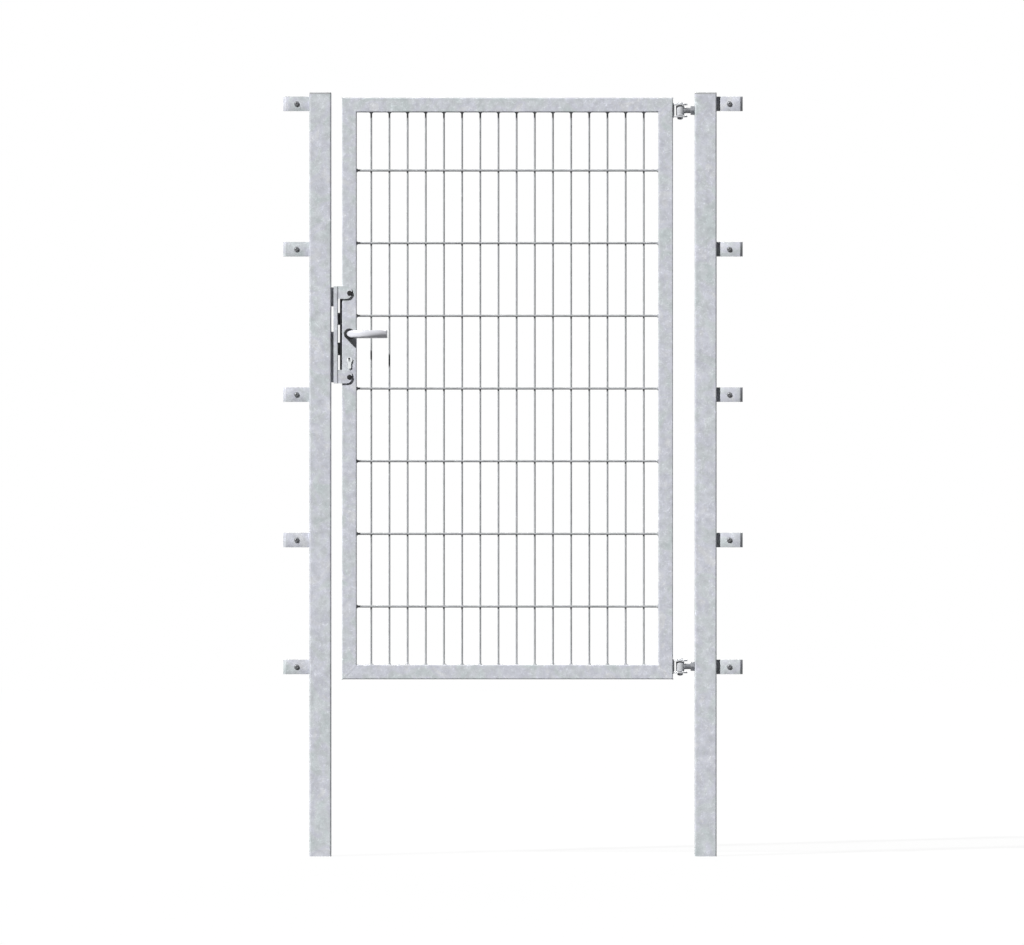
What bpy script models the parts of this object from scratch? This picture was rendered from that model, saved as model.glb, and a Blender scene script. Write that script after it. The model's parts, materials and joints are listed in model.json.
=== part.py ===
"""Single pedestrian gate, hot-dip galvanised.

Two square posts carry a tube-framed leaf with a double-wire mesh. The leaf hangs on two eye-bolt
hinges, opens away from the viewer, and closes against rubber stops on a keep. A mortise lock
with lever handles holds it. Clamps on the outer sides of the posts take the fence mats.

Metres. X runs along the fence, Y points away from the viewer, Z is up. The origin is on the foot
of the hinge post, in the middle of its outer wall. Y = 0 is the middle of the posts and the leaf.
"""

from math import asin, cos, floor, pi, sin, sqrt

import bmesh
import bpy
from mathutils import Matrix, Vector

# Gap between pieces that touch, and around a bolt in its hole.
FIT = 0.0003

# Posts
POST_SIDE = 0.060
POST_WALL = 0.003
POST_CORNER = 0.004
POST_HEIGHT = 2.100
CAP_THICKNESS = 0.003
CAP_PLUG = 0.014

# Leaf frame
LEAF_WIDTH = 0.910
LEAF_HEIGHT = 1.600
LEAF_DROP = 0.013
LATCH_GAP = 0.030
FRAME_SIDE = 0.040
FRAME_WALL = 0.002
FRAME_CORNER = 0.003

# Mesh of upright wires between two layers of cross wires
UPRIGHT_DIAMETER = 0.005
CROSS_DIAMETER = 0.006
UPRIGHT_PITCH = 0.050
CROSS_PITCH = 0.200
LEAST_SIDE_MARGIN = 0.030
LEAST_TOP_MARGIN = 0.100
WELD_DEPTH = 0.0002

# Hinges
HINGE_GAP = 0.060
HINGE_INSET = 0.035
PIVOT_OFFSET = 0.020
FORK_DEPTH = 0.026
FORK_PLATE = 0.004
FORK_REACH = 0.039
EYE_DIAMETER = 0.023
EYE_HEIGHT = 0.027
EYE_PLAY = 0.001
PIN_DIAMETER = 0.010
PIN_HEAD_DIAMETER = 0.017
PIN_HEAD_HEIGHT = 0.0045
PIN_NUT_FLATS = 0.0135
PIN_NUT_HEIGHT = 0.005
SHANK_DIAMETER = 0.016
SHANK_INSIDE = 0.030
LOCK_NUT_FLATS = 0.024
LOCK_NUT_LENGTH = 0.011

# Lock, measured from the foot and the outer face of its stile, and from the spindle
SPINDLE_RISE = 0.950
BACKSET = 0.020
FOREND_THICKNESS = 0.006
FOREND_CORNER = 0.0035
FOREND_WIDTH = 0.024
FOREND_LENGTH = 0.245
FOREND_DROP = 0.003
CASE_THICKNESS = 0.018
CASE_DEPTH = 0.034
CASE_ABOVE = 0.061
CASE_BELOW = 0.109
CYLINDER_DROP = 0.072
CYLINDER_DIAMETER = 0.017
CYLINDER_SLOT = 0.010
CYLINDER_HEIGHT = 0.033
CYLINDER_PROUD = 0.004
KEYHOLE_WIDTH = 0.0025
KEYHOLE_HEIGHT = 0.008
KEYHOLE_DEPTH = 0.006
BOLT_THICKNESS = 0.012
LATCH_HEIGHT = 0.033
LATCH_RISE = 0.0415
LATCH_THROW = 0.013
DEADBOLT_HEIGHT = 0.0345
DEADBOLT_DROP = 0.041
DEADBOLT_THROW = 0.016
BOLT_INSIDE = 0.018
BOLT_PLAY = 0.0005

# Lever handles
ROSE_DIAMETER = 0.030
ROSE_LENGTH = 0.028
ROSE_EDGE = 0.002
NECK_DIAMETER = 0.016
SPINDLE_SIDE = 0.008
SPINDLE_ENGAGED = 0.018
GRIP_DIAMETER = 0.0205
GRIP_LENGTH = 0.1105
GRIP_OVERHANG = 0.0066
GRIP_STEPS = 10
GRIP_REACH = 0.049
GRIP_CREST = 0.008
GRIP_RETURN = 0.019

# Keep with its stop ears, on the latch post
KEEP_STANDOFF = 0.0065
KEEP_REACH = 0.0185
KEEP_PLATE = 0.003
KEEP_BEND = 0.003
KEEP_FRONT = 0.0275
KEEP_BACK = 0.020
KEEP_RISE = 0.131
KEEP_HEIGHT = 0.267
WINDOW_PLAY = 0.002
PAD_UPPER = 0.055
PAD_LOWER = 0.142
PAD_FRONT = 0.019
PAD_ROOT = 0.045
EAR_THICKNESS = 0.003
EAR_OVERLAP = 0.027
EAR_UPPER = 0.0345
EAR_LOWER = 0.037
EAR_CORNER = 0.015
EAR_STANDOFF = 0.002
BUFFER_DIAMETER = 0.012
BUFFER_STEM = 0.006
BUFFER_HEAD = 0.002
BUFFER_INSET = 0.0205

# Clamps for the fence mats
MAT_THICKNESS = 0.017
CLAMP_HEIGHT = 0.040
CLAMP_PLATE = 0.004
CLAMP_REACH = 0.072
CLAMP_FRONT = 0.0165
CLAMP_BEND = 0.0075
TAB_PLATE = 0.005
TAB_HEIGHT = 0.038
TAB_REACH = 0.062
CLAMP_DROP = 0.030
CLAMP_PITCH = 0.400
LEAST_CLAMP_GAP = 0.300
CLAMP_RISE = 0.034

# Positions that follow from the sizes above
HINGE_POST_X = -(POST_SIDE - POST_WALL) / 2
HINGE_FACE = HINGE_POST_X - POST_SIDE / 2
LATCH_FACE = HINGE_FACE - HINGE_GAP - LEAF_WIDTH - LATCH_GAP
LATCH_POST_X = LATCH_FACE - POST_SIDE / 2
LEAF_RIGHT = HINGE_FACE - HINGE_GAP
LEAF_LEFT = LEAF_RIGHT - LEAF_WIDTH
LEAF_TOP = POST_HEIGHT - LEAF_DROP
LEAF_BOTTOM = LEAF_TOP - LEAF_HEIGHT
PIVOT_X = LEAF_RIGHT + PIVOT_OFFSET
SPINDLE_X = LEAF_LEFT + BACKSET
SPINDLE_HEIGHT = LEAF_BOTTOM + SPINDLE_RISE
FOREND_FACE = LEAF_LEFT - FIT - FOREND_THICKNESS
LATCH_Z = SPINDLE_HEIGHT + LATCH_RISE
DEADBOLT_Z = SPINDLE_HEIGHT - DEADBOLT_DROP
SOCKET_END = FRAME_SIDE / 2 + SPINDLE_ENGAGED
FORK_INNER = EYE_HEIGHT + 2 * EYE_PLAY
FORK_HEIGHT = FORK_INNER + 2 * FORK_PLATE
HINGES = (("upper", LEAF_TOP - HINGE_INSET), ("lower", LEAF_BOTTOM + HINGE_INSET))
KEEP_TOP = SPINDLE_HEIGHT + KEEP_RISE
KEEP_BOTTOM = KEEP_TOP - KEEP_HEIGHT
EAR_BACK = -FRAME_SIDE / 2 - EAR_STANDOFF


def clear_scene():
    for obj in list(bpy.data.objects):
        bpy.data.objects.remove(obj, do_unlink=True)


def make_material(name, colour, metallic, roughness):
    material = bpy.data.materials.new(name)
    material.use_nodes = True
    shader = material.node_tree.nodes["Principled BSDF"]
    shader.inputs["Base Color"].default_value = (*colour, 1.0)
    shader.inputs["Metallic"].default_value = metallic
    shader.inputs["Roughness"].default_value = roughness
    material.diffuse_color = (*colour, 1.0)
    return material


def add_solid(name, points, faces, material):
    work = bmesh.new()
    corners = [work.verts.new(point) for point in points]
    for face in faces:
        work.faces.new([corners[index] for index in face])
    bmesh.ops.recalc_face_normals(work, faces=work.faces)
    mesh = bpy.data.meshes.new(name)
    work.to_mesh(mesh)
    work.free()
    mesh.materials.append(material)
    obj = bpy.data.objects.new(name, mesh)
    bpy.context.scene.collection.objects.link(obj)
    return obj


def skin(rings, hollow, start=0):
    """Faces between rings of equal length; a hollow shape joins its last ring to its first."""
    count = len(rings[0])
    total = len(rings)
    faces = []
    for k in range(total if hollow else total - 1):
        near = start + k * count
        far = start + (k + 1) % total * count
        for i in range(count):
            j = (i + 1) % count
            faces.append((near + i, near + j, far + j, far + i))
    if not hollow:
        faces.append(tuple(range(start, start + count)))
        faces.append(tuple(range(start + (total - 1) * count, start + total * count)))
    return faces


def loft(name, rings, material, hollow=False):
    points = [point for ring in rings for point in ring]
    return add_solid(name, points, skin(rings, hollow), material)


def on_axis(axis, u, v, along):
    """Point at (u, v) across the axis and this far along it."""
    if axis == "X":
        return Vector((along, u, v))
    if axis == "Y":
        return Vector((u, along, v))
    return Vector((u, v, along))


def rounded_rectangle(width, height, radius, steps=3):
    points = []
    for quadrant, (side_u, side_v) in enumerate(((1, 1), (-1, 1), (-1, -1), (1, -1))):
        for step in range(steps + 1):
            angle = (quadrant + step / steps) * pi / 2
            u = side_u * (width / 2 - radius) + radius * cos(angle)
            v = side_v * (height / 2 - radius) + radius * sin(angle)
            points.append((u, v))
    return points


def arc(centre_u, centre_v, radius, first, last, steps):
    """Points on an arc between two angles, given in quarter turns."""
    points = []
    for step in range(steps + 1):
        angle = (first + (last - first) * step / steps) * pi / 2
        points.append((centre_u + radius * cos(angle), centre_v + radius * sin(angle)))
    return points


def circle(radius, sides, turn=0.0):
    angles = [turn + 2 * pi * k / sides for k in range(sides)]
    return [(radius * cos(angle), radius * sin(angle)) for angle in angles]


def moved(outline, u, v):
    return [(point_u + u, point_v + v) for point_u, point_v in outline]


def prism(name, axis, outline, low, high, material):
    rings = [[on_axis(axis, u, v, along) for u, v in outline] for along in (low, high)]
    return loft(name, rings, material)


def box(name, low, high, material):
    corners = [(low[0], low[1]), (high[0], low[1]), (high[0], high[1]), (low[0], high[1])]
    return prism(name, "Z", corners, low[2], high[2], material)


def lathe(name, axis, centre, profile, material, sides=24, hollow=False):
    """Turns (along, radius) pairs about a line through the centre."""
    rings = []
    for along, radius in profile:
        outline = circle(radius, sides)
        rings.append([on_axis(axis, u, v, along) + Vector(centre) for u, v in outline])
    return loft(name, rings, material, hollow)


def hexagon(flats):
    return circle(flats / sqrt(3), 6)


def combine(target, other, operation):
    modifier = target.modifiers.new(other.name, "BOOLEAN")
    modifier.operation = operation
    modifier.solver = "EXACT"
    modifier.object = other
    other.hide_render = True
    other.display_type = "WIRE"


def cut(target, *cutters):
    for cutter in cutters:
        combine(target, cutter, "DIFFERENCE")


def join(target, *others):
    for other in others:
        combine(target, other, "UNION")


def set_origin(obj, origin, parent):
    """Moves the object's origin, not its shape, and hangs it and its cutters on the parent."""
    obj.data.transform(Matrix.Translation(-Vector(origin)))
    obj.location = Vector(origin) - parent_place(parent)
    obj.parent = parent
    for modifier in obj.modifiers:
        set_origin(modifier.object, origin, parent)


def parent_place(parent):
    place = Vector((0, 0, 0))
    while parent:
        place += parent.location
        parent = parent.parent
    return place


def add_pivot(name, location, parent=None):
    pivot = bpy.data.objects.new(name, None)
    pivot.empty_display_size = 0.05
    pivot.location = Vector(location) - parent_place(parent)
    pivot.parent = parent
    bpy.context.scene.collection.objects.link(pivot)
    return pivot


def post(name, centre_x, material):
    inner = POST_SIDE - 2 * POST_WALL
    top = POST_HEIGHT - CAP_THICKNESS - FIT
    outside = rounded_rectangle(POST_SIDE, POST_SIDE, POST_CORNER)
    inside = rounded_rectangle(inner, inner, POST_CORNER - POST_WALL)
    levels = ((outside, 0.0), (outside, top), (inside, top), (inside, 0.0))
    rings = [[Vector((centre_x + u, v, z)) for u, v in outline] for outline, z in levels]
    return loft(name, rings, material, hollow=True)


def post_cap(name, centre_x, material):
    """Flat lid with a plug that fills the mouth of the post."""
    bore = POST_SIDE - 2 * POST_WALL - 2 * FIT
    seat = POST_HEIGHT - CAP_THICKNESS
    bevel = CAP_THICKNESS / 3
    rim = POST_SIDE - 2 * bevel
    plug = rounded_rectangle(bore, bore, POST_CORNER - POST_WALL)
    plate = rounded_rectangle(POST_SIDE, POST_SIDE, POST_CORNER)
    crown = rounded_rectangle(rim, rim, POST_CORNER - bevel)
    levels = (
        (plug, seat - CAP_PLUG),
        (plug, seat),
        (plate, seat),
        (plate, POST_HEIGHT - bevel),
        (crown, POST_HEIGHT),
    )
    rings = [[Vector((centre_x + u, v, z)) for u, v in outline] for outline, z in levels]
    return loft(name, rings, material)


def mitred_tube(name, centre, along, outward, length, material):
    """Frame tube between two 45 degree mitres, its long side facing outward."""
    half = (length - FRAME_SIDE) / 2 - FIT / sqrt(2)
    inner = FRAME_SIDE - 2 * FRAME_WALL
    outside = rounded_rectangle(FRAME_SIDE, FRAME_SIDE, FRAME_CORNER)
    inside = rounded_rectangle(inner, inner, FRAME_CORNER - FRAME_WALL)
    rings = []
    for outline, end in ((outside, -1), (outside, 1), (inside, 1), (inside, -1)):
        ring = []
        for u, v in outline:
            ring.append(centre + outward * u + Vector((0, v, 0)) + along * end * (half + u))
        rings.append(ring)
    return loft(name, rings, material, hollow=True)


def wires(name, axis, places, diameter, low, high, material):
    """Six-sided bars with a flat side to the front, one at each place across the axis."""
    turn = pi / 6 if axis == "X" else 0.0
    points = []
    faces = []
    for u, v in places:
        outline = moved(circle(diameter / 2, 6, turn), u, v)
        rings = [[on_axis(axis, a, b, along) for a, b in outline] for along in (low, high)]
        faces += skin(rings, False, len(points))
        points += rings[0] + rings[1]
    return add_solid(name, points, faces, material)


def centred_rows(low, high, pitch, least_margin):
    """Places at this pitch, centred between two limits."""
    gaps = floor((high - low - 2 * least_margin) / pitch + 1e-6)
    first = (low + high - gaps * pitch) / 2
    return [first + pitch * k for k in range(gaps + 1)]


def mesh_panel(material):
    left = LEAF_LEFT + FRAME_SIDE
    right = LEAF_RIGHT - FRAME_SIDE
    bottom = LEAF_BOTTOM + FRAME_SIDE
    top = LEAF_TOP - FRAME_SIDE
    columns = centred_rows(left, right, UPRIGHT_PITCH, LEAST_SIDE_MARGIN)
    rows = centred_rows(bottom, top, CROSS_PITCH, LEAST_TOP_MARGIN)
    layer = (UPRIGHT_DIAMETER + CROSS_DIAMETER) * sqrt(3) / 4 - WELD_DEPTH
    places = [(x, 0.0) for x in columns]
    panel = wires(
        "mesh_panel", "Z", places, UPRIGHT_DIAMETER, bottom + FIT, top - FIT, material
    )
    for side, y in (("front", -layer), ("back", layer)):
        places = [(y, z) for z in rows]
        cross = wires(
            f"mesh_{side}_wires", "X", places, CROSS_DIAMETER, left + FIT, right - FIT, material
        )
        join(panel, cross)
    return panel


def cylinder_shape(name, play, reach, material):
    """A circle with a narrower, round-ended slot below it, this far to each side of the leaf."""
    radius = CYLINDER_DIAMETER / 2 - play
    half = CYLINDER_SLOT / 2 - play
    foot = (CYLINDER_DIAMETER + CYLINDER_SLOT) / 2 - CYLINDER_HEIGHT
    mouth = asin(half / radius) * 2 / pi
    outline = arc(0, 0, radius, mouth - 1, 3 - mouth, 12) + arc(0, foot, half, 2, 4, 6)
    outline = moved(outline, SPINDLE_X, SPINDLE_HEIGHT - CYLINDER_DROP)
    return prism(name, "Y", outline, -reach, reach, material)


def cylinder_cutter(name, material):
    return cylinder_shape(name, 0.0, FRAME_SIDE, material)


def lock_cylinder(material):
    """Profile cylinder with a keyhole at each end."""
    reach = FRAME_SIDE / 2 + CYLINDER_PROUD
    cylinder = cylinder_shape("lock_cylinder", FIT, reach, material)
    middle = SPINDLE_HEIGHT - CYLINDER_DROP
    for place, side in (("front", -1), ("back", 1)):
        ends = sorted((side * (reach - KEYHOLE_DEPTH), side * 2 * reach))
        keyhole = box(
            f"keyhole_{place}_cutter",
            (SPINDLE_X - KEYHOLE_WIDTH / 2, ends[0], middle - KEYHOLE_HEIGHT / 4),
            (SPINDLE_X + KEYHOLE_WIDTH / 2, ends[1], middle + KEYHOLE_HEIGHT * 3 / 4),
            material,
        )
        cut(cylinder, keyhole)
    return cylinder


def spindle_cutter(name, radius, material):
    centre = (SPINDLE_X, 0, SPINDLE_HEIGHT)
    return lathe(name, "Y", centre, ((-FRAME_SIDE, radius), (FRAME_SIDE, radius)), material)


def lock_stile(material):
    """Latch-side upright with the openings for the lock, its spindle and its cylinder."""
    centre = Vector((LEAF_LEFT + FRAME_SIDE / 2, 0, LEAF_BOTTOM + LEAF_HEIGHT / 2))
    up = Vector((0, 0, 1))
    outward = Vector((-1, 0, 0))
    stile = mitred_tube("frame_lock_stile", centre, up, outward, LEAF_HEIGHT, material)
    half = CASE_THICKNESS / 2 + FIT
    case_mouth = box(
        "case_mouth_cutter",
        (LEAF_LEFT - FRAME_WALL, -half, SPINDLE_HEIGHT - CASE_BELOW - FIT),
        (LEAF_LEFT + 2 * FRAME_WALL, half, SPINDLE_HEIGHT + CASE_ABOVE + FIT),
        material,
    )
    spindle_hole = spindle_cutter("stile_spindle_cutter", CASE_THICKNESS / 2, material)
    cut(stile, case_mouth, spindle_hole, cylinder_cutter("stile_cylinder_cutter", material))
    return stile


def bolt_pocket(name, height, centre_z, throw, material):
    """Space that a bolt slides in, as deep as the bolt goes when it is drawn back."""
    half_y = BOLT_THICKNESS / 2 + BOLT_PLAY
    half_z = height / 2 + BOLT_PLAY
    return box(
        f"{name}_pocket_cutter",
        (FOREND_FACE - FOREND_THICKNESS, -half_y, centre_z - half_z),
        (FOREND_FACE + BOLT_INSIDE + throw + BOLT_PLAY, half_y, centre_z + half_z),
        material,
    )


def lock_case(material):
    """Forend plate and case in one, with pockets for the two bolts."""
    outline = rounded_rectangle(FOREND_WIDTH, FOREND_LENGTH, FOREND_CORNER, 2)
    outline = moved(outline, 0, SPINDLE_HEIGHT - FOREND_DROP)
    back = FOREND_FACE + FOREND_THICKNESS
    lock = prism("lock_case", "X", outline, FOREND_FACE, back, material)
    body = box(
        "case_body",
        (back - FOREND_THICKNESS / 2, -CASE_THICKNESS / 2, SPINDLE_HEIGHT - CASE_BELOW),
        (LEAF_LEFT + CASE_DEPTH, CASE_THICKNESS / 2, SPINDLE_HEIGHT + CASE_ABOVE),
        material,
    )
    join(lock, body)
    cut(
        lock,
        spindle_cutter("case_spindle_cutter", SPINDLE_SIDE / sqrt(2) + FIT, material),
        cylinder_cutter("case_cylinder_cutter", material),
        bolt_pocket("latch", LATCH_HEIGHT, LATCH_Z, LATCH_THROW, material),
        bolt_pocket("deadbolt", DEADBOLT_HEIGHT, DEADBOLT_Z, DEADBOLT_THROW, material),
    )
    return lock


def latch(material):
    """Sprung bolt, bevelled on the side that meets the keep first."""
    half = BOLT_THICKNESS / 2
    tip = FOREND_FACE - LATCH_THROW
    rear = FOREND_FACE + BOLT_INSIDE
    outline = (
        (rear, -half),
        (rear, half),
        (tip, half),
        (tip, 0.6 * half),
        (tip + 0.1 * BOLT_THICKNESS, 0.2 * half),
        (tip + 0.75 * BOLT_THICKNESS, -half),
    )
    half_z = LATCH_HEIGHT / 2
    return prism("latch", "Z", outline, LATCH_Z - half_z, LATCH_Z + half_z, material)


def deadbolt(material):
    half = BOLT_THICKNESS / 2
    bevel = BOLT_THICKNESS / 10
    tip = FOREND_FACE - DEADBOLT_THROW
    rear = FOREND_FACE + BOLT_INSIDE
    outline = (
        (rear, -half),
        (rear, half),
        (tip + bevel, half),
        (tip, half - bevel),
        (tip, bevel - half),
        (tip + bevel, -half),
    )
    half_z = DEADBOLT_HEIGHT / 2
    return prism("deadbolt", "Z", outline, DEADBOLT_Z - half_z, DEADBOLT_Z + half_z, material)


def rose(name, side, material):
    """Long round boss under a lever; side is -1 in front of the leaf and 1 behind it."""
    outer = ROSE_DIAMETER / 2
    bore = NECK_DIAMETER / 2 + FIT
    back = FRAME_SIDE / 2 + FIT
    front = back + ROSE_LENGTH
    profile = (
        (side * back, outer),
        (side * (front - ROSE_EDGE), outer),
        (side * (front - 0.3 * ROSE_EDGE), outer - 0.3 * ROSE_EDGE),
        (side * front, outer - ROSE_EDGE),
        (side * front, bore),
        (side * back, bore),
    )
    return lathe(name, "Y", (SPINDLE_X, 0, SPINDLE_HEIGHT), profile, material, 32, True)


def grip_bow(share):
    """How far the grip has bowed out at this share of its run, on a parabola."""
    slope = 2 * (GRIP_CREST + sqrt(GRIP_CREST * (GRIP_CREST + GRIP_RETURN)))
    return slope * share - (slope + GRIP_RETURN) * share * share


def lever(name, side, material):
    """Bowed round grip on a neck that has a square socket for the spindle."""
    radius = GRIP_DIAMETER / 2
    neck = NECK_DIAMETER / 2
    root = side * (FRAME_SIDE / 2 + 2 * FIT)
    axis_y = side * (FRAME_SIDE / 2 + GRIP_REACH)
    left = radius - GRIP_OVERHANG
    right = GRIP_LENGTH - GRIP_OVERHANG
    chamfer = 0.15 * radius
    profile = [(left + u, v) for u, v in arc(0, 0, radius, 1.85, 1, 5)]
    for step in range(1, GRIP_STEPS + 1):
        profile.append((left + (right - chamfer - left) * step / GRIP_STEPS, radius))
    profile += [(right - 0.3 * chamfer, 0.95 * radius), (right, 0.85 * radius)]
    rings = []
    for along, size in profile:
        reach = side * grip_bow((along - left) / (right - left))
        centre = Vector((SPINDLE_X + along, axis_y + reach, SPINDLE_HEIGHT))
        rings.append([centre + Vector((0, u, v)) for u, v in circle(size, 24)])
    grip = loft(name, rings, material)
    centre = (SPINDLE_X, 0, SPINDLE_HEIGHT)
    stem = lathe(f"{name}_stem", "Y", centre, ((root, neck), (axis_y, neck)), material)
    half = SPINDLE_SIDE / 2 + FIT
    ends = sorted((0, side * SOCKET_END))
    socket = box(
        f"{name}_socket_cutter",
        (SPINDLE_X - half, ends[0], SPINDLE_HEIGHT - half),
        (SPINDLE_X + half, ends[1], SPINDLE_HEIGHT + half),
        material,
    )
    join(grip, stem)
    cut(grip, socket)
    return grip


def spindle(material):
    half = SPINDLE_SIDE / 2
    reach = SOCKET_END - FIT
    return box(
        "spindle",
        (SPINDLE_X - half, -reach, SPINDLE_HEIGHT - half),
        (SPINDLE_X + half, reach, SPINDLE_HEIGHT + half),
        material,
    )


def hinge_fork(place, height, material):
    """Flat bar bent to a U, welded to the stile by its web."""
    left = LEAF_RIGHT + FIT
    right = LEAF_RIGHT + FORK_REACH
    half_y = FORK_DEPTH / 2
    low = height - FORK_HEIGHT / 2
    high = height + FORK_HEIGHT / 2
    outline = [(left, half_y), (left, -half_y)] + arc(right - half_y, 0, half_y, -1, 1, 8)
    fork = prism(f"hinge_fork_{place}", "Z", outline, low, high, material)
    jaw = box(
        f"fork_jaw_{place}_cutter",
        (left + FORK_PLATE, -FORK_DEPTH, height - FORK_INNER / 2),
        (right + FORK_PLATE, FORK_DEPTH, height + FORK_INNER / 2),
        material,
    )
    radius = PIN_DIAMETER / 2 + FIT
    profile = ((low - FORK_PLATE, radius), (high + FORK_PLATE, radius))
    bore = lathe(f"fork_bore_{place}_cutter", "Z", (PIVOT_X, 0, 0), profile, material)
    cut(fork, jaw, bore)
    return fork


def hinge_bolt(place, height, material):
    """Domed bolt through the fork and the eye, with its nut underneath."""
    radius = PIN_DIAMETER / 2
    head = PIN_HEAD_DIAMETER / 2
    seat = height + FORK_HEIGHT / 2 + FIT
    nut_top = height - FORK_HEIGHT / 2 - FIT
    nut_foot = nut_top - PIN_NUT_HEIGHT
    end = nut_foot - 0.25 * radius
    profile = (
        (end, 0.7 * radius),
        (end + 0.2 * radius, 0.9 * radius),
        (nut_top, 0.9 * radius),
        (nut_top, radius),
        (seat, radius),
        (seat, head),
        (seat + 0.5 * PIN_HEAD_HEIGHT, 0.93 * head),
        (seat + 0.85 * PIN_HEAD_HEIGHT, 0.7 * head),
        (seat + PIN_HEAD_HEIGHT, 0.4 * head),
    )
    bolt = lathe(f"hinge_bolt_{place}", "Z", (PIVOT_X, 0, 0), profile, material)
    outline = moved(hexagon(PIN_NUT_FLATS), PIVOT_X, 0)
    nut = prism(f"hinge_bolt_{place}_nut", "Z", outline, nut_foot, nut_top, material)
    join(bolt, nut)
    return bolt


def shank_cutter(name, height, material):
    reach = 2 * LOCK_NUT_LENGTH
    radius = SHANK_DIAMETER / 2 + FIT
    profile = ((HINGE_FACE - reach, radius), (HINGE_FACE + reach, radius))
    return lathe(name, "X", (0, 0, height), profile, material)


def eye_bolt(place, height, material):
    """Forged eye on a shank that goes through the wall of the hinge post."""
    outer = EYE_DIAMETER / 2
    bore = PIN_DIAMETER / 2 + FIT
    half = EYE_HEIGHT / 2
    edge = EYE_DIAMETER / 16
    shank = SHANK_DIAMETER / 2
    end = HINGE_FACE + SHANK_INSIDE
    centre = (PIVOT_X, 0, height)
    profile = (
        (-half, outer - edge),
        (edge - half, outer),
        (half - edge, outer),
        (half, outer - edge),
    )
    eye = lathe(f"eye_bolt_{place}", "Z", centre, profile, material)
    profile = ((PIVOT_X + bore, shank), (end - edge, shank), (end, shank - edge))
    rod = lathe(f"eye_bolt_{place}_shank", "X", (0, 0, height), profile, material)
    profile = ((-EYE_HEIGHT, bore), (EYE_HEIGHT, bore))
    hole = lathe(f"eye_bore_{place}_cutter", "Z", centre, profile, material)
    join(eye, rod)
    cut(eye, hole)
    return eye


def eye_bolt_nut(place, height, material):
    """Lock nut on the shank, against the post."""
    right = HINGE_FACE - FIT
    outline = moved(hexagon(LOCK_NUT_FLATS), 0, height)
    nut = prism(f"eye_bolt_nut_{place}", "X", outline, right - LOCK_NUT_LENGTH, right, material)
    cut(nut, shank_cutter(f"nut_bore_{place}_cutter", height, material))
    return nut


def stop_ear(place, bottom, top, material):
    """Flat lug in front of the leaf, rounded at its free end, with a hole for the buffer."""
    left = LATCH_FACE + KEEP_REACH - KEEP_PLATE / 2
    centre_x = LEAF_LEFT + EAR_OVERLAP - EAR_CORNER
    outline = [(left, top), (left, bottom)]
    outline += arc(centre_x, bottom + EAR_CORNER, EAR_CORNER, -1, 0, 6)
    outline += arc(centre_x, top - EAR_CORNER, EAR_CORNER, 0, 1, 6)
    ear = prism(f"ear_{place}", "Y", outline, EAR_BACK - EAR_THICKNESS, EAR_BACK, material)
    centre = (LEAF_LEFT + BUFFER_INSET, EAR_BACK, (bottom + top) / 2)
    radius = BUFFER_STEM / 2 + FIT
    profile = ((-2 * EAR_THICKNESS, radius), (EAR_THICKNESS, radius))
    cut(ear, lathe(f"ear_{place}_hole_cutter", "Y", centre, profile, material))
    return ear


def keep(material):
    """Folded channel, open towards its post, with bolt windows, stop ears and fixing pads.

    Each pad fills the gap to the post, and its root reaches the web. The windows go through to
    the post, so the bolts have room behind the web.
    """
    web = LATCH_FACE + KEEP_REACH
    mouth = LATCH_FACE + KEEP_STANDOFF
    outline = [(mouth, -KEEP_FRONT)]
    outline += arc(web - KEEP_BEND, KEEP_BEND - KEEP_FRONT, KEEP_BEND, -1, 0, 4)
    outline += arc(web - KEEP_BEND, KEEP_BACK - KEEP_BEND, KEEP_BEND, 0, 1, 4)
    outline += [
        (mouth, KEEP_BACK),
        (mouth, KEEP_BACK - KEEP_PLATE),
        (web - KEEP_PLATE, KEEP_BACK - KEEP_PLATE),
        (web - KEEP_PLATE, KEEP_PLATE - KEEP_FRONT),
        (mouth, KEEP_PLATE - KEEP_FRONT),
    ]
    channel = prism("keep", "Z", outline, KEEP_BOTTOM, KEEP_TOP, material)
    upper = KEEP_TOP - KEEP_PLATE
    lower = KEEP_BOTTOM + KEEP_PLATE
    for name, depth, low, high in (
        ("upper_pad", mouth + KEEP_PLATE / 3, KEEP_TOP - PAD_UPPER, upper),
        ("upper_root", web - KEEP_PLATE / 2, upper - PAD_ROOT, upper),
        ("lower_pad", mouth + KEEP_PLATE / 3, lower, KEEP_BOTTOM + PAD_LOWER),
        ("lower_root", web - KEEP_PLATE / 2, lower, lower + PAD_ROOT),
    ):
        near = (LATCH_FACE + FIT, -PAD_FRONT, low)
        far = (depth, KEEP_BACK - KEEP_PLATE / 2, high)
        join(channel, box(f"keep_{name}", near, far, material))
    join(
        channel,
        stop_ear("upper", KEEP_TOP - EAR_UPPER, KEEP_TOP, material),
        stop_ear("lower", KEEP_BOTTOM, KEEP_BOTTOM + EAR_LOWER, material),
    )
    half_y = BOLT_THICKNESS / 2 + WINDOW_PLAY
    for name, height, centre_z in (
        ("latch", LATCH_HEIGHT, LATCH_Z),
        ("deadbolt", DEADBOLT_HEIGHT, DEADBOLT_Z),
    ):
        half_z = height / 2 + WINDOW_PLAY
        window = box(
            f"{name}_window_cutter",
            (LATCH_FACE, -half_y, centre_z - half_z),
            (web + KEEP_PLATE, half_y, centre_z + half_z),
            material,
        )
        cut(channel, window)
    return channel


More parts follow.
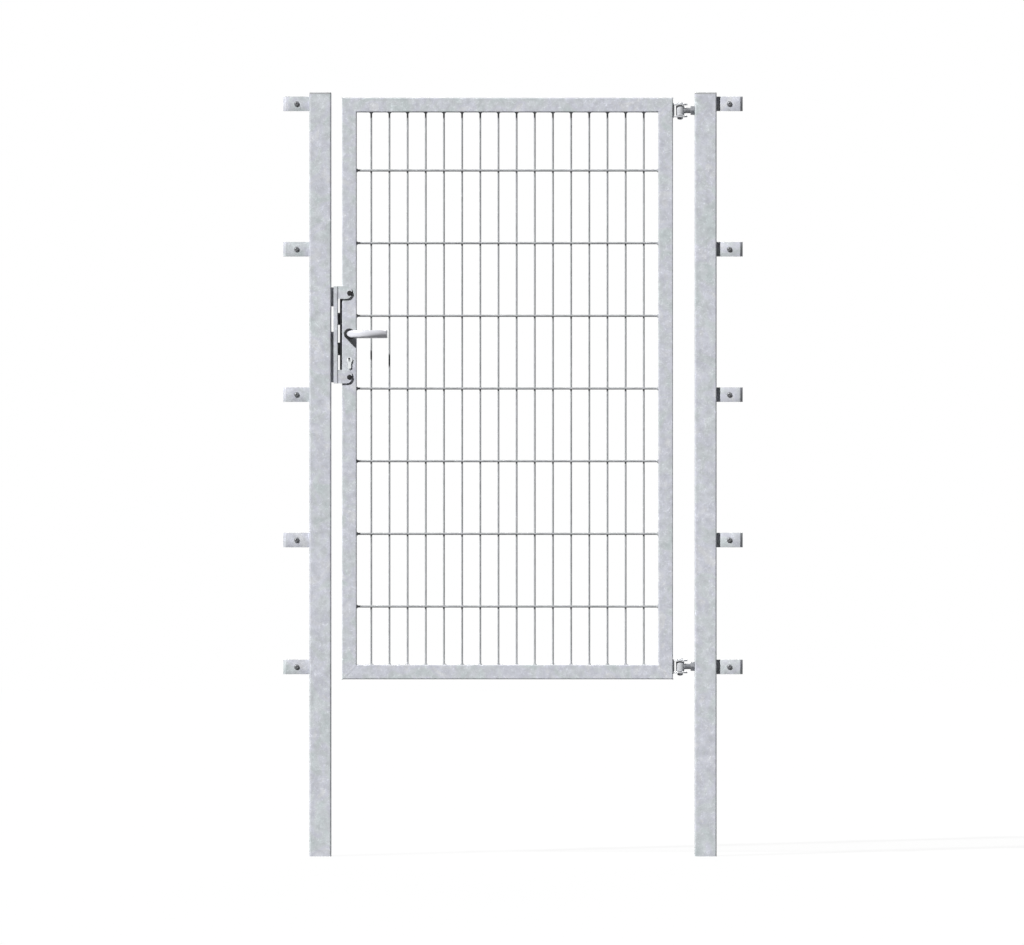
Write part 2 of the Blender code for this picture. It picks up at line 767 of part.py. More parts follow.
def stop_buffer(place, height, material):
    """Rubber button through the ear; the leaf closes against its rear pad."""
    head = BUFFER_DIAMETER / 2
    stem = BUFFER_STEM / 2
    front = EAR_BACK - EAR_THICKNESS - FIT
    pad_front = EAR_BACK + FIT
    profile = (
        (front - BUFFER_HEAD, 0.75 * head),
        (front - BUFFER_HEAD / 2, head),
        (front, head),
        (front, stem),
        (pad_front, stem),
        (pad_front, head),
        (-FRAME_SIDE / 2 - FIT, head),
    )
    centre = (LEAF_LEFT + BUFFER_INSET, 0, height)
    return lathe(f"stop_buffer_{place}", "Y", centre, profile, material, 20)


def clamp_heights():
    """Down from the top of the post at the pitch, and one level with the foot of the leaf."""
    highest = POST_HEIGHT - CLAMP_DROP
    lowest = LEAF_BOTTOM + CLAMP_RISE
    gaps = floor((highest - lowest - LEAST_CLAMP_GAP) / CLAMP_PITCH)
    return [highest - CLAMP_PITCH * k for k in range(gaps + 1)] + [lowest]


def clamp_tab(name, face, side, height, material):
    """Lug welded to the post, behind the mat."""
    ends = sorted((face + side * FIT, face + side * TAB_REACH))
    front = MAT_THICKNESS / 2 + FIT
    half = TAB_HEIGHT / 2
    low = (ends[0], front, height - half)
    high = (ends[1], front + TAB_PLATE, height + half)
    return box(name, low, high, material)


def clamp_plate(name, face, side, height, material):
    """Plate in front of the mat, its outer end bent back to press on the wires."""
    bend_u = CLAMP_REACH - CLAMP_BEND
    bend_v = CLAMP_BEND - CLAMP_FRONT
    lip = -MAT_THICKNESS / 2 - FIT
    outline = [(FIT, -CLAMP_FRONT)]
    outline += arc(bend_u, bend_v, CLAMP_BEND, -1, 0, 5)
    outline += [(CLAMP_REACH, lip), (CLAMP_REACH - CLAMP_PLATE, lip)]
    outline += arc(bend_u, bend_v, CLAMP_BEND - CLAMP_PLATE, 0, -1, 5)
    outline.append((FIT, CLAMP_PLATE - CLAMP_FRONT))
    outline = [(face + side * u, v) for u, v in outline]
    half = CLAMP_HEIGHT / 2
    return prism(name, "Z", outline, height - half, height + half, material)


clear_scene()

steel = make_material("galvanised_steel", (0.62, 0.64, 0.66), 0.9, 0.45)
zinc = make_material("zinc_plated_steel", (0.75, 0.76, 0.78), 1.0, 0.25)
cap_grey = make_material("cap_plastic", (0.42, 0.43, 0.44), 0.0, 0.55)
satin = make_material("satin_aluminium", (0.80, 0.81, 0.83), 1.0, 0.30)
nickel = make_material("satin_nickel", (0.78, 0.77, 0.74), 1.0, 0.30)
black = make_material("rose_plastic", (0.02, 0.02, 0.022), 0.0, 0.40)
rubber = make_material("stop_rubber", (0.015, 0.015, 0.015), 0.0, 0.80)

# Fixed parts
hinge_post = post("hinge_post", HINGE_POST_X, steel)
latch_post = post("latch_post", LATCH_POST_X, steel)
post_cap("hinge_post_cap", HINGE_POST_X, cap_grey)
post_cap("latch_post_cap", LATCH_POST_X, cap_grey)
for number, height in enumerate(clamp_heights(), start=1):
    for post_name, centre_x, side in (
        ("hinge_post", HINGE_POST_X, 1),
        ("latch_post", LATCH_POST_X, -1),
    ):
        face = centre_x + side * POST_SIDE / 2
        clamp_tab(f"{post_name}_clamp_tab_{number}", face, side, height, steel)
        clamp_plate(f"{post_name}_clamp_plate_{number}", face, side, height, steel)
for place, height in HINGES:
    cut(hinge_post, shank_cutter(f"post_bore_{place}_cutter", height, steel))
    eye_bolt(place, height, zinc)
    eye_bolt_nut(place, height, zinc)
keep(steel)
stop_buffer("upper", KEEP_TOP - EAR_UPPER / 2, rubber)
stop_buffer("lower", KEEP_BOTTOM + EAR_LOWER / 2, rubber)

# Leaf
across = Vector((1, 0, 0))
upward = Vector((0, 0, 1))
middle_x = (LEAF_LEFT + LEAF_RIGHT) / 2
middle_z = (LEAF_BOTTOM + LEAF_TOP) / 2
right = Vector((LEAF_RIGHT - FRAME_SIDE / 2, 0, middle_z))
top = Vector((middle_x, 0, LEAF_TOP - FRAME_SIDE / 2))
bottom = Vector((middle_x, 0, LEAF_BOTTOM + FRAME_SIDE / 2))
leaf = [
    lock_stile(steel),
    mitred_tube("frame_hinge_stile", right, upward, across, LEAF_HEIGHT, steel),
    mitred_tube("frame_top_rail", top, across, upward, LEAF_WIDTH, steel),
    mitred_tube("frame_bottom_rail", bottom, across, -upward, LEAF_WIDTH, steel),
    mesh_panel(steel),
    lock_case(zinc),
    lock_cylinder(nickel),
    rose("rose_front", -1, black),
    rose("rose_back", 1, black),
]
for place, height in HINGES:
    leaf.append(hinge_fork(place, height, zinc))
    leaf.append(hinge_bolt(place, height, zinc))
gate_pivot = add_pivot("gate_pivot", (PIVOT_X, 0, LEAF_BOTTOM))
for piece in leaf:
    set_origin(piece, (PIVOT_X, 0, LEAF_BOTTOM), gate_pivot)

# Moving parts of the lock, carried by the leaf
spindle_centre = (SPINDLE_X, 0, SPINDLE_HEIGHT)
handle_pivot = add_pivot("handle_pivot", spindle_centre, gate_pivot)
handle = [lever("handle_front", -1, satin), lever("handle_back", 1, satin), spindle(zinc)]
for piece in handle:
    set_origin(piece, spindle_centre, handle_pivot)
set_origin(latch(zinc), (FOREND_FACE, 0, LATCH_Z), gate_pivot)
set_origin(deadbolt(zinc), (FOREND_FACE, 0, DEADBOLT_Z), gate_pivot)
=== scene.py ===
"""Looks of a single pedestrian gate, hot-dip galvanised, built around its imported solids.

Metres, in the frame of the solids: X runs along the fence, Y away from the viewer, Z up.
"""

import json
from math import ceil, cos, pi, radians, sin, sqrt, tan

import bmesh
import bpy
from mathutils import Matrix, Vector


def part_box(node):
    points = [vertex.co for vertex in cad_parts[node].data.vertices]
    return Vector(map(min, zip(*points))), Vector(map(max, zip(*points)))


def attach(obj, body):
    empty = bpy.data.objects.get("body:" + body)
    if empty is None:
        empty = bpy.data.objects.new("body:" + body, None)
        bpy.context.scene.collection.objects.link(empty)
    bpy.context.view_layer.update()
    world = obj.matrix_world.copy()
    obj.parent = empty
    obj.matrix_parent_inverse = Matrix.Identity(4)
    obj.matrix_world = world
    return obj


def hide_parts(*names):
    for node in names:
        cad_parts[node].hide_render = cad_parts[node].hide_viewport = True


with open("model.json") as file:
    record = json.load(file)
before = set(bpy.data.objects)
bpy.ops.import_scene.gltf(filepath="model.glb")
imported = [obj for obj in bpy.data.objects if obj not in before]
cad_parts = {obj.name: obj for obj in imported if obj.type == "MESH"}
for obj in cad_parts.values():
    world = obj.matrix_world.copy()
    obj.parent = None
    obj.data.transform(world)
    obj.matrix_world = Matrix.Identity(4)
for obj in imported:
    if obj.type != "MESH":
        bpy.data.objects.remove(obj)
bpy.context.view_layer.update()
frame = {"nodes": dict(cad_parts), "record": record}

# Photograph: its width and the place of the lens, in the frame of the solids
IMAGE_WIDTH = 1024
PHOTO_SCALE = 0.00275
PHOTO_PLANE_Y = -0.030
CAMERA_X = -0.5612
CAMERA_HEIGHT = 1.0558
CAMERA_DISTANCE = 40.0
SENSOR_WIDTH = 36.0

# Light: the key comes from the upper left, in front of the gate
KEY_DIRECTION = (0.93, 1.0, -0.97)
KEY_STRENGTH = 4.88
KEY_ANGLE = radians(1.8)
SIDE_DIRECTION = (-1.0, 0.0, -0.2)
SIDE_STRENGTH = 0.40
BACK_DIRECTION = (0.0, -1.0, -0.35)
BACK_STRENGTH = 1.8
SOFT_ANGLE = radians(20.0)
AMBIENT = 0.045
FLOOR_SIZE = 60.0
FLOOR_WHITE = 0.92
FLOOR_PALE = 0.9
FLOOR_DIM = 0.08

# Wires of the mesh, with the profile (along, radius) of the weld where two cross
UPRIGHTS = 16
UPRIGHT_PITCH = 0.050
UPRIGHT_RADIUS = 0.0025
CROSS_RODS = 7
CROSS_PITCH = 0.200
CROSS_RADIUS = 0.0030
WIRE_SIDES = 14
WELD_SINK = 0.0003
COLLAR_RADIUS = 0.0060
COLLAR_LENGTH = 0.0034
UPRIGHT_WAIST = 0.8
CROSS_WAIST = 0.85
NUGGET = ((-0.0013, 0.0012), (-0.0006, 0.0026), (0.0006, 0.0026), (0.0013, 0.0012))
NUGGET_SIDES = 8

# Nuts, threads and domed heads of all sizes, by shares of the flats and of the pitch
NUT_SIDES = 36
NUT_FACE = 0.97
NUT_CHAMFER = 0.16
THREAD_DEPTH = 0.55
DOME_ANGLE = radians(80.0)

# Eye bolts
SHANK_RADIUS = 0.008
SHANK_PITCH = 0.002
EYE_CLEARANCE = 0.0003
EYE_EDGE = 0.0018
EYE_NECK = 0.0035
EYE_OVERLAP = 0.8

# Hinge bolts: washer and nut by their share of the head's radius
PIN_RADIUS = 0.005
PIN_PITCH = 0.0015
PIN_HEAD_RIM = 0.0010
PIN_WASHER = 0.0012
PIN_WASHER_SHARE = 0.96
PIN_NUT_SHARE = 1.6
PIN_NUT_LIFT = 0.0012
PIN_NUT_BORE = 0.0045
PIN_THREAD_RADIUS = 0.00475

# Clamp screws
SCREW_RADIUS = 0.004
SCREW_PITCH = 0.00125
SCREW_REACH = 0.035
SCREW_HEAD_RADIUS = 0.0072
SCREW_HEAD_HEIGHT = 0.0050
SCREW_HEAD_RIM = 0.0012
SCREW_SOCKET_MOUTH = 0.0031
SCREW_SOCKET_FLOOR = 0.00275
SCREW_NUT_FLATS = 0.013
SCREW_NUT_HEIGHT = 0.0065
SCREW_WASHER_RADIUS = 0.0080
SCREW_WASHER = 0.0016

# Lock: forend screws, cylinder plugs and key slots, each key slot a thin black shape on the
# plug's face, painted shade for the keyway's recess
FOREND_SCREW_INSET = 0.010
FOREND_SCREW_RADIUS = 0.0040
FOREND_SCREW_RISE = 0.0002
FOREND_SCREW_DEPTH = 0.002
PLUG_RADIUS = 0.0050
PLUG_RISE = 0.0006
PLUG_SINK = 0.001
PLUG_SHIFT = -0.0008
KEY_SLOT_WIDTH = 0.0058
KEY_SLOT_HEIGHT = 0.0084
KEY_SLOT_LIFT = 0.0018
KEY_SLOT_RISE = 0.00008

# Fold at the outer end of each clamp plate
CLAMP_SHEET = 0.004
CLAMP_FOLD = radians(45.0)
CLAMP_FOLD_RADIUS = 0.003
CLAMP_FOLD_STEPS = 5
CLAMP_NOSE = 0.0008
CLAMP_EDGE = 0.0005

# Rubber stop buffers: the black head hangs a little lower and is wider than the solid, so that it
# also covers part of the buffer's own shadow below it: partly real rubber, partly painted shadow
STOP_SHADOW_DROP = 0.0016
STOP_SHADOW_SWELL = 1.16
STOP_HEAD = 0.0023
STOP_HEAD_RIM = 0.0008
STOP_PAD = 0.0024
STOP_PAD_RIM = 0.0005
STOP_STEM_LAP = 0.0004

# Raised crown of each post cap
CROWN_HEIGHT = 0.0014
CROWN_INSET = 0.0006
CROWN_EDGE = 0.0004

# Hinge forks: deeper and a little longer than their solids
FORK_PLATE = 0.004
FORK_SWELL = 0.0028
WEB_SWELL = 0.0012
FORK_STRETCH = 0.0012
FORK_EDGE = 0.0006
FORK_ARC_STEPS = 12
WEB_INSET = 0.0008

# Weld beads
BEAD_RIPPLE = 0.0035
BEAD_SWELL = 0.16
BEAD_TIP = 0.0002
BEAD_SIDES = 10
FILLET_RADIUS = 0.0022
FILLET_INSET = 0.001
SEAM_WIDTH = 0.0060
SEAM_HEIGHT = 0.00018
SEAM_OUTER_INSET = 0.002
SEAM_INNER_INSET = 0.001
CORNER_INSET = 0.002
CORNER_WIDTH = 0.0016
EDGE_WIDTH = 0.003
CORNER_HEIGHT = 0.0008

# Welds of the keep: half of its pads' sheet, and where the seams end on the pads
KEEP_HALF_SHEET = 0.0015
KEEP_END = 0.005
KEEP_UPPER_PAD = 0.053
KEEP_LOWER_PAD = 0.140

# Roses: soft edge, and the bore round the neck of the lever with its chamfer
ROSE_EDGE = 0.0028
ROSE_CLEARANCE = 0.0003
ROSE_CHAMFER = 0.0006

# Lever handles: the grip bows out by its crest and comes back by its return.
# Its root is squared and fades to round over the root share of its length. The tip's
# steps are (share of the bevel, share of the radius), and those of the neck are
# (share of its length, share of its radius).
GRIP_RADIUS = 0.0106
GRIP_CREST = 0.008
GRIP_RETURN = 0.019
GRIP_STEPS = 44
GRIP_SIDES = 48
GRIP_TIP_BEVEL = 0.0012
GRIP_TIP = ((0.6, 0.985), (0.2, 0.95), (0.0, 0.89))
GRIP_OVERHANG = 0.0066
GRIP_ROOT = 0.018
GRIP_ROOT_STEPS = 9
GRIP_ROOT_START_DEGREES = 6
GRIP_DROP = 0.0005
ROOT_SQUARE = 2.4
ROOT_SHARE = 0.60
NECK_RADIUS = 0.0065
NECK = ((0.0, 1.0), (0.70, 1.0), (0.96, 1.02))

# Zinc: colours of its clouds by their position, and the grey of its plainest form
ZINC_TINTS = (
    (0.32, (0.505, 0.548, 0.560)),
    (0.45, (0.548, 0.572, 0.596)),
    (0.57, (0.548, 0.560, 0.622)),
    (0.70, (0.600, 0.610, 0.635)),
)
ZINC_GREY = (0.565, 0.575, 0.585)

# Specular level of plating, plastic and rubber
PLAIN_GLOSS = 0.3

# Edges sharper than this stay sharp, and joined pieces reach this far into each other
SHARP_ANGLE = radians(35.0)
JOINT_LAP = 0.001

# The way out along X from each post, and the way out along Y on each side of the leaf
POSTS = {"hinge_post": 1, "latch_post": -1}
SIDES = {"front": -1, "back": 1}
PLACES = ("upper", "lower")


# Mesh building


def on_axis(axis, u, v, along):
    """Point at (u, v) across the axis and this far along it."""
    if axis == "X":
        return Vector((along, u, v))
    if axis == "Y":
        return Vector((u, along, v))
    return Vector((u, v, along))


def add_shell(work, rings, hollow=False, bevel=0.0):
    """Adds one closed shell through rings of equal length, its sharp edges rounded."""
    shell = bmesh.new()
    rows = [[shell.verts.new(point) for point in ring] for ring in rings]
    following = rows[1:] + rows[:1] if hollow else rows[1:]
    for near, far in zip(rows, following):
        for i, corner in enumerate(near):
            j = (i + 1) % len(near)
            shell.faces.new((corner, near[j], far[j], far[i]))
    if not hollow:
        shell.faces.new(rows[0])
        shell.faces.new(rows[-1])
    bmesh.ops.recalc_face_normals(shell, faces=shell.faces)
    if bevel:
        sharp = [edge for edge in shell.edges if edge.calc_face_angle() > SHARP_ANGLE]
        bmesh.ops.bevel(
            shell, geom=sharp, offset=bevel, segments=2, profile=0.5, affect="EDGES"
        )
    part = bpy.data.meshes.new("part")
    shell.to_mesh(part)
    shell.free()
    work.from_mesh(part)
    bpy.data.meshes.remove(part)


def circle(radius, sides):
    angles = [2 * pi * k / sides for k in range(sides)]
    return [(radius * cos(angle), radius * sin(angle)) for angle in angles]


def squared_circle(radius, sides, power):
    """Closed outline, a circle at power 2 and nearer to a square above it."""
    outline = []
    for u, v in circle(1.0, sides):
        reach = radius / (abs(u) ** power + abs(v) ** power) ** (1 / power)
        outline.append((reach * u, reach * v))
    return outline


def ring_at(axis, centre, outline, along):
    """The outline laid across the axis, about the centre."""
    return [on_axis(axis, u, v, along) + Vector(centre) for u, v in outline]


def lathe(work, axis, centre, profile, sides=32, hollow=False):
    """Turns (along, radius) pairs about a line through the centre."""
    rings = [ring_at(axis, centre, circle(radius, sides), along) for along, radius in profile]
    add_shell(work, rings, hollow)


def prism(work, axis, outline, low, high, bevel=0.0):
    rings = [[on_axis(axis, u, v, along) for u, v in outline] for along in (low, high)]
    add_shell(work, rings, bevel=bevel)


def dome(base, height, radius, rim, steps=6):
    """Profile of a domed head: from its rim over the crown, along the way it faces."""
    side = 1 if height > 0 else -1
    brim = base + side * rim
    profile = [(base, radius), (brim, radius)]
    for step in range(1, steps + 1):
        angle = step / steps * DOME_ANGLE
        profile.append((brim + (height - side * rim) * sin(angle), radius * cos(angle)))
    return profile


def hex_radius(flats, angle):
    """Distance from the middle of a hexagon to its side at this angle, a corner at 0."""
    return flats / 2 / cos((angle % (pi / 3)) - pi / 6)


def hexagon_nut(work, axis, centre, flats, low, high, bore):
    """Nut with an open bore, its corners cut back to a limit at each level."""
    face = NUT_FACE * flats / 2
    drop = NUT_CHAMFER * flats
    shoulder = face + 0.35 * drop
    levels = (
        (low, face),
        (low + drop / 4, shoulder),
        (low + drop, flats),
        (high - drop, flats),
        (high - drop / 4, shoulder),
        (high, face),
    )
    rings = []
    for along, limit in levels:
        outline = []
        for k in range(NUT_SIDES):
            angle = 2 * pi * k / NUT_SIDES
            radius = min(hex_radius(flats, angle), limit)
            outline.append((radius * cos(angle), radius * sin(angle)))
        rings.append(ring_at(axis, centre, outline, along))
    for along in (high, low):
        rings.append(ring_at(axis, centre, circle(bore, NUT_SIDES), along))
    add_shell(work, rings, hollow=True)


def threaded_rod(work, axis, centre, radius, pitch, low, high, sides=20):
    """Rod with a helical thread, cut by THREAD_DEPTH of its pitch."""
    steps = ceil(4 * (high - low) / pitch)
    depth = THREAD_DEPTH * pitch
    rings = []
    for step in range(steps + 1):
        along = low + (high - low) * step / steps
        outline = []
        for k in range(sides):
            phase = (along / pitch - k / sides) % 1.0
            reach = radius - depth * abs(2 * phase - 1)
            angle = 2 * pi * k / sides
            outline.append((reach * cos(angle), reach * sin(angle)))
        rings.append(ring_at(axis, centre, outline, along))
    add_shell(work, rings)


def bead(work, start, end, normal, width, height):
    """Weld bead along a straight seam, rippled and tapered at its ends, sunk by half."""
    start = Vector(start)
    run = Vector(end) - start
    length = run.length
    across = run.normalized().cross(Vector(normal).normalized())
    up = across.cross(run.normalized())
    steps = max(8, ceil(4 * length / BEAD_RIPPLE))
    rings = []
    for step in range(steps + 1):
        distance = length * step / steps
        to_end = min(distance, length - distance)
        taper = sqrt(min(1.0, (to_end + BEAD_TIP) / (width / 2)))
        size = taper * (1 + BEAD_SWELL * abs(sin(pi * distance / BEAD_RIPPLE)))
        middle = start + run * (step / steps)
        ring = []
        for u, v in circle(1.0, BEAD_SIDES):
            ring.append(middle + across * (u * size * width / 2) + up * (v * size * height))
        rings.append(ring)
    add_shell(work, rings)


def finish_piece(work, name, slot, body, *replaced, finish=None):
    """Makes the object, smooth but for its sharp edges, and hangs it on its body."""
    for face in work.faces:
        face.smooth = True
    for edge in work.edges:
        edge.smooth = edge.calc_face_angle(0.0) < SHARP_ANGLE
    mesh = bpy.data.meshes.new(name)
    work.to_mesh(mesh)
    work.free()
    mesh.materials.append(FINISHES[finish or slot])
    piece = bpy.data.objects.new(name, mesh)
    bpy.context.scene.collection.objects.link(piece)
    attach(piece, body)
    if replaced:
        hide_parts(*replaced)
    return piece


# Materials


class Nodes:
    """Short calls for one material's node tree."""

    def __init__(self, name):
        self.material = bpy.data.materials.new(name)
        self.material.use_nodes = True
        self.tree = self.material.node_tree
        self.shader = self.tree.nodes["Principled BSDF"]
        self.place = self.add("ShaderNodeTexCoord").outputs["Object"]

    def add(self, kind, **settings):
        node = self.tree.nodes.new(kind)
        for key, value in settings.items():
            setattr(node, key, value)
        return node

    def link(self, source, target):
        self.tree.links.new(source, target)

    def noise(self, scale, detail=2.0, distortion=0.0, roughness=0.5):
        node = self.add("ShaderNodeTexNoise")
        node.inputs["Scale"].default_value = scale
        node.inputs["Detail"].default_value = detail
        node.inputs["Distortion"].default_value = distortion
        node.inputs["Roughness"].default_value = roughness
        self.link(self.place, node.inputs["Vector"])
        return node.outputs["Fac"]

    def ramp(self, source, *stops):
        """Maps a value to colours; each stop is (position, colour)."""
        node = self.add("ShaderNodeValToRGB")
        elements = node.color_ramp.elements
        while len(elements) < len(stops):
            elements.new(0.5)
        for element, (position, colour) in zip(elements, stops):
            element.position = position
            element.color = (*colour, 1.0)
        self.link(source, node.inputs["Fac"])
        return node.outputs["Color"]

    def mapped(self, source, low, high, to_low, to_high):
        node = self.add("ShaderNodeMapRange")
        node.inputs["From Min"].default_value = low
        node.inputs["From Max"].default_value = high
        node.inputs["To Min"].default_value = to_low
        node.inputs["To Max"].default_value = to_high
        self.link(source, node.inputs["Value"])
        return node.outputs["Result"]

    def spread(self, noise, to_low, to_high):
        """Maps a noise to another range, by the middle part where most of it lies."""
        return self.mapped(noise, 0.3, 0.7, to_low, to_high)

    def math(self, operation, first, second):
        node = self.add("ShaderNodeMath", operation=operation)
        for socket, value in zip(node.inputs, (first, second)):
            if isinstance(value, (int, float)):
                socket.default_value = value
            else:
                self.link(value, socket)
        return node.outputs["Value"]

    def mix(self, factor, first, second, blend="MIX"):
        node = self.add("ShaderNodeMix", data_type="RGBA", blend_type=blend)
        sockets = (node.inputs[0], node.inputs[6], node.inputs[7])
        for socket, value in zip(sockets, (factor, first, second)):
            if isinstance(value, (int, float)):
                socket.default_value = value
            elif isinstance(value, tuple):
                socket.default_value = (*value, 1.0)
            else:
                self.link(value, socket)
        return node.outputs[2]

    def bump(self, height, strength, distance):
        node = self.add("ShaderNodeBump")
        node.inputs["Strength"].default_value = strength
        node.inputs["Distance"].default_value = distance
        self.link(height, node.inputs["Height"])
        self.link(node.outputs["Normal"], self.shader.inputs["Normal"])

    def set(self, **values):
        for key, value in values.items():
            socket = self.shader.inputs[key.replace("_", " ")]
            if isinstance(value, tuple):
                socket.default_value = (*value, 1.0)
            elif isinstance(value, (int, float)):
                socket.default_value = value
            else:
                self.link(value, socket)


def galvanised(name, brightness, gloss, hue=1.0):
    """Matt zinc: bluish, lavender and greenish clouds, light flecks and curved streaks."""
    nodes = Nodes(name)
    clouds = nodes.noise(19.0, detail=3.0, distortion=0.9)
    tint = nodes.mix(hue, ZINC_GREY, nodes.ramp(clouds, *ZINC_TINTS))
    patches = nodes.spread(nodes.noise(52.0, detail=4.0, roughness=0.58), 0.84, 1.10)
    fleck = nodes.mapped(nodes.noise(150.0, detail=2.0, distortion=1.5), 0.58, 0.68, 1.0, 1.20)
    bend = nodes.math("ABSOLUTE", nodes.math("SUBTRACT", nodes.noise(36.0, 1.0, 1.8), 0.5), 0.0)
    streak = nodes.mapped(bend, 0.0, 0.018, 1.20, 1.0)
    shade = nodes.math("MULTIPLY", nodes.math("MULTIPLY", patches, fleck), streak)
    shade = nodes.math("MULTIPLY", shade, brightness)
    colour = nodes.mix(1.0, tint, shade, blend="MULTIPLY")
    rough = nodes.spread(nodes.noise(60.0, detail=4.0), 0.50, 0.62)
    nodes.bump(nodes.noise(420.0, detail=3.0), 0.10, 0.0006)
    nodes.set(Base_Color=colour, Metallic=0.0, Roughness=rough, Specular_IOR_Level=gloss)
    return nodes.material


def plated(name, low_colour, high_colour, metallic, gloss=PLAIN_GLOSS):
    """Zinc plating or bare steel on small hardware, faintly clouded. It also makes the near-black
    painted shade of the lock.
    """
    nodes = Nodes(name)
    colour = nodes.ramp(nodes.noise(160.0, detail=3.0), (0.35, low_colour), (0.65, high_colour))
    rough = nodes.spread(nodes.noise(300.0, detail=2.0), 0.30, 0.42)
    nodes.bump(nodes.noise(900.0, detail=2.0), 0.05, 0.0003)
    nodes.set(Base_Color=colour, Metallic=metallic, Roughness=rough, Specular_IOR_Level=gloss)
    return nodes.material


def satin(name, colour, metallic):
    """Fine-brushed light metal."""
    nodes = Nodes(name)
    speckle = nodes.spread(nodes.noise(500.0, detail=3.0), 0.97, 1.03)
    colour = nodes.mix(1.0, colour, speckle, blend="MULTIPLY")
    rough = nodes.spread(nodes.noise(700.0, detail=2.0), 0.34, 0.46)
    nodes.bump(nodes.noise(1400.0, detail=1.0), 0.04, 0.0002)
    nodes.set(Base_Color=colour, Metallic=metallic, Roughness=rough)
    return nodes.material


def moulded(name, low_colour, high_colour, roughness, grain):
    """Plastic or rubber with a fine moulded grain."""
    nodes = Nodes(name)
    colour = nodes.ramp(nodes.noise(120.0, detail=3.0), (0.3, low_colour), (0.7, high_colour))
    rough = nodes.spread(nodes.noise(260.0, detail=2.0), roughness - 0.05, roughness + 0.05)
    nodes.bump(nodes.noise(grain, detail=2.0), 0.15, 0.0003)
    nodes.set(Base_Color=colour, Metallic=0.0, Roughness=rough, Specular_IOR_Level=PLAIN_GLOSS)
    return nodes.material


FINISHES = {
    "galvanised_steel": galvanised("galvanised", 1.0, 0.25),
    "galvanised_wire": galvanised("galvanised_wire", 0.66, 0.06, 0.35),
    "zinc_plated_steel": plated("zinc_plating", (0.50, 0.51, 0.53), (0.58, 0.59, 0.61), 0.10),
    "dull_zinc": plated("dull_zinc_plating", (0.17, 0.175, 0.185), (0.22, 0.225, 0.235), 0.20),
    "bolt_zinc": plated("bolt_zinc_plating", (0.20, 0.206, 0.22), (0.27, 0.277, 0.29), 0.05, 0.1),
    # Near-black steel for the lock case, latch and deadbolt: painted shade of the keep's shadow
    # on them
    "lock_painted_shade": plated("painted_lock_shade", (0.13, 0.133, 0.14), (0.17, 0.173, 0.18), 0.0, 0.12),
    "satin_aluminium": satin("aluminium", (0.67, 0.675, 0.72), 0.10),
    "satin_nickel": satin("nickel", (0.76, 0.79, 0.80), 0.10),
    "cap_plastic": moulded("grey_plastic", (0.35, 0.36, 0.37), (0.42, 0.43, 0.44), 0.55, 700.0),
    "pale_plastic": moulded("pale_plastic", (0.52, 0.53, 0.54), (0.58, 0.59, 0.60), 0.55, 700.0),
    "rose_plastic": moulded(
        "black_plastic", (0.012, 0.013, 0.015), (0.020, 0.021, 0.023), 0.45, 900.0
    ),
    "stop_rubber": moulded(
        "black_rubber", (0.010, 0.010, 0.011), (0.018, 0.018, 0.019), 0.75, 900.0
    ),
}

# Nodes of the solids whose look differs from that of their slot. The lock case, latch and
# deadbolt get a near-black steel: painted shade, for the shadow of the keep that falls on them.
NODE_FINISHES = {"lock_case": "lock_painted_shade", "latch": "lock_painted_shade", "deadbolt": "lock_painted_shade"}

for row in frame["record"]["subparts"]:
    node = frame["nodes"][row["node"]]
    finish = NODE_FINISHES.get(row["node"], row["material_slot"])
    for index in range(len(node.material_slots)):
        node.material_slots[index].material = FINISHES[finish]


# Pieces of the posts


def cap_crown(post):
    """Pale raised crown on the cap of one post."""
    low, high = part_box(f"{post}_cap")
    west = low.x + CROWN_INSET
    east = high.x - CROWN_INSET
    south = low.y + CROWN_INSET
    north = high.y - CROWN_INSET
    outline = [(west, south), (east, south), (east, north), (west, north)]
    work = bmesh.new()
    prism(work, "Z", outline, high.z - CROWN_EDGE, high.z + CROWN_HEIGHT, bevel=CROWN_EDGE)
    finish_piece(work, f"{post}_cap_crown", "cap_plastic", "posts", finish="pale_plastic")


def clamp_numbers(post):
    """Numbers of the clamps on one post, from 1 up."""
    number = 1
    while f"{post}_clamp_plate_{number}" in frame["nodes"]:
        yield number
        number += 1


def clamp_plates(post):
    """Plates in front of the mat, each with its outer end folded back at a slant."""
    side = POSTS[post]
    for number in clamp_numbers(post):
        node = f"{post}_clamp_plate_{number}"
        low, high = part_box(node)
        near, far = (low.x, high.x) if side > 0 else (high.x, low.x)
        nose = high.y - CLAMP_NOSE
        slope = tan(CLAMP_FOLD)
        fold = far - side * (nose - low.y) / slope
        sheet = CLAMP_SHEET / cos(CLAMP_FOLD)
        heel = fold - side * (sheet - CLAMP_SHEET) / slope
        tail = heel + side * (high.y - low.y - CLAMP_SHEET) / slope
        outline = [(near, low.y)]
        reach = CLAMP_FOLD_RADIUS * tan(CLAMP_FOLD / 2)
        for step in range(CLAMP_FOLD_STEPS + 1):
            angle = CLAMP_FOLD * step / CLAMP_FOLD_STEPS
            along = CLAMP_FOLD_RADIUS * sin(angle) - reach
            outline.append((fold + side * along, low.y + CLAMP_FOLD_RADIUS * (1 - cos(angle))))
        outline += [(far, nose), (far, high.y), (tail, high.y)]
        outline += [(heel, low.y + CLAMP_SHEET), (near, low.y + CLAMP_SHEET)]
        work = bmesh.new()
        prism(work, "Z", outline, low.z, high.z, bevel=CLAMP_EDGE)
        finish_piece(work, f"{node}_folded", "galvanised_steel", "posts", node)


